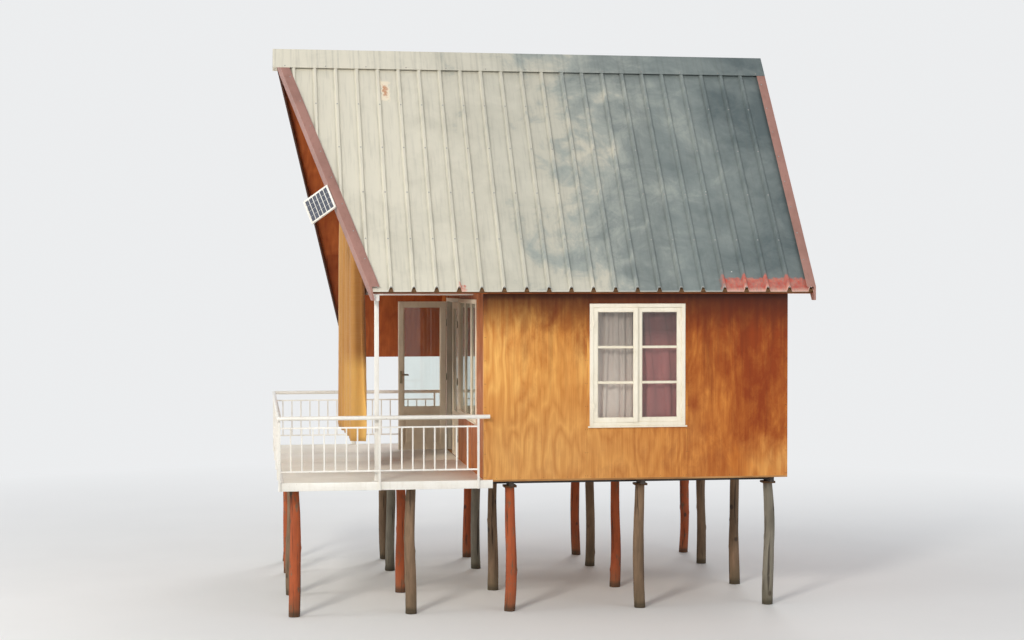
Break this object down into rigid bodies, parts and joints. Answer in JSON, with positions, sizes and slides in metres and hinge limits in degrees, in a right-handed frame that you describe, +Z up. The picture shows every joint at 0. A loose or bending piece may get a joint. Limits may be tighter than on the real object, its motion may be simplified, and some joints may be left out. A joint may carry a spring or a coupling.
{
  "type": "stilt house",
  "caption": "Small plywood house with a loft under a steep prow-shaped sheet roof, a railed veranda and balcony, a double glazed door, on crooked log stilts.",
  "frame": {"origin": "on the ground, in the middle of the whole house's footprint from eave to eave and from the roof's nose to its tail", "axes": "+Z up; -Y is the gable front with the veranda, balcony and door; +X is the tall side wall"},
  "size_m": [5.41, 6.36, 6.8373],
  "materials": {
    "log_painted": "faded red paint on a debarked log",
    "log_bare": "weathered bare log",
    "rough_timber": "rough sawn and dark",
    "dark_steel": "dark dusty paint",
    "floor_ply": "plywood boards",
    "deck_board": "pale painted boards",
    "white_steel": "white gloss paint",
    "varnished_ply": "orange brown varnish",
    "roof_sheet": "weathered blue grey paint",
    "verge_brown": "pinkish brown paint",
    "verge_dark": "dark brown paint",
    "cream_wood": "cream white paint",
    "clear_glass": "clear",
    "mauve_cloth": "thin woven cloth",
    "ochre_cloth": "thin woven cloth",
    "solar_cells": "dark cells in a white frame",
    "lamp_white": "white plastic"
  },
  "bodies": {
    "house": {"deck_stilts": "log_painted", "house_stilts": "log_bare", "stilt_packers": "rough_timber", "floor_bearers": "dark_steel", "floor_joists": "dark_steel", "house_floor": "floor_ply", "deck_floor": "deck_board", "deck_channel_front": "white_steel", "deck_channel_right": "white_steel", "deck_channel_left": "white_steel", "railing_front": "white_steel", "railing_right": "white_steel", "railing_left": "white_steel", "veranda_posts": "white_steel", "rafter_tube_right": "white_steel", "rafter_tube_left": "white_steel", "collar_tube": "white_steel", "balcony_floor": "floor_ply", "balcony_channel": "white_steel", "balcony_railing_front": "white_steel", "balcony_railing_right": "white_steel", "balcony_railing_left": "white_steel", "balcony_posts": "white_steel", "loft_floor": "floor_ply", "right_wall": "varnished_ply", "left_wall": "varnished_ply", "rear_wall": "varnished_ply", "front_wall_panels": "varnished_ply", "front_wall_base": "varnished_ply", "front_wall_head": "varnished_ply", "front_gable": "varnished_ply", "roof_sheets_right": "roof_sheet", "roof_sheets_left": "roof_sheet", "roof_lining_right": "varnished_ply", "roof_lining_left": "varnished_ply", "roof_purlins": "rough_timber", "ridge_cap": "roof_sheet", "verge_trim_right": "verge_brown", "verge_trim_left": "verge_dark", "window_frames": "cream_wood", "window_sashes": "cream_wood", "front_window_frame": "cream_wood", "window_glass": "clear_glass", "door_frame": "cream_wood", "upper_door": "cream_wood", "window_curtains": "mauve_cloth", "veranda_curtain": "ochre_cloth", "solar_panel": "solar_cells", "eave_lamp": "lamp_white"},
    "door_right": {"door_leaf_right": "cream_wood", "door_glass_right": "clear_glass"},
    "door_left": {"door_leaf_left": "cream_wood", "door_glass_left": "clear_glass"}
  },
  "joints": [
    {"name": "right_door_hinge", "type": "hinge", "parent": "house", "child": "door_right", "pos_m": [-0.05, -0.788, 2.6], "axis": [0, 0, 1], "range_deg": [0, 110]},
    {"name": "left_door_hinge", "type": "hinge", "parent": "house", "child": "door_left", "pos_m": [-1.39, -0.788, 2.6], "axis": [0, 0, 1], "range_deg": [-20, 90]}
  ]
}
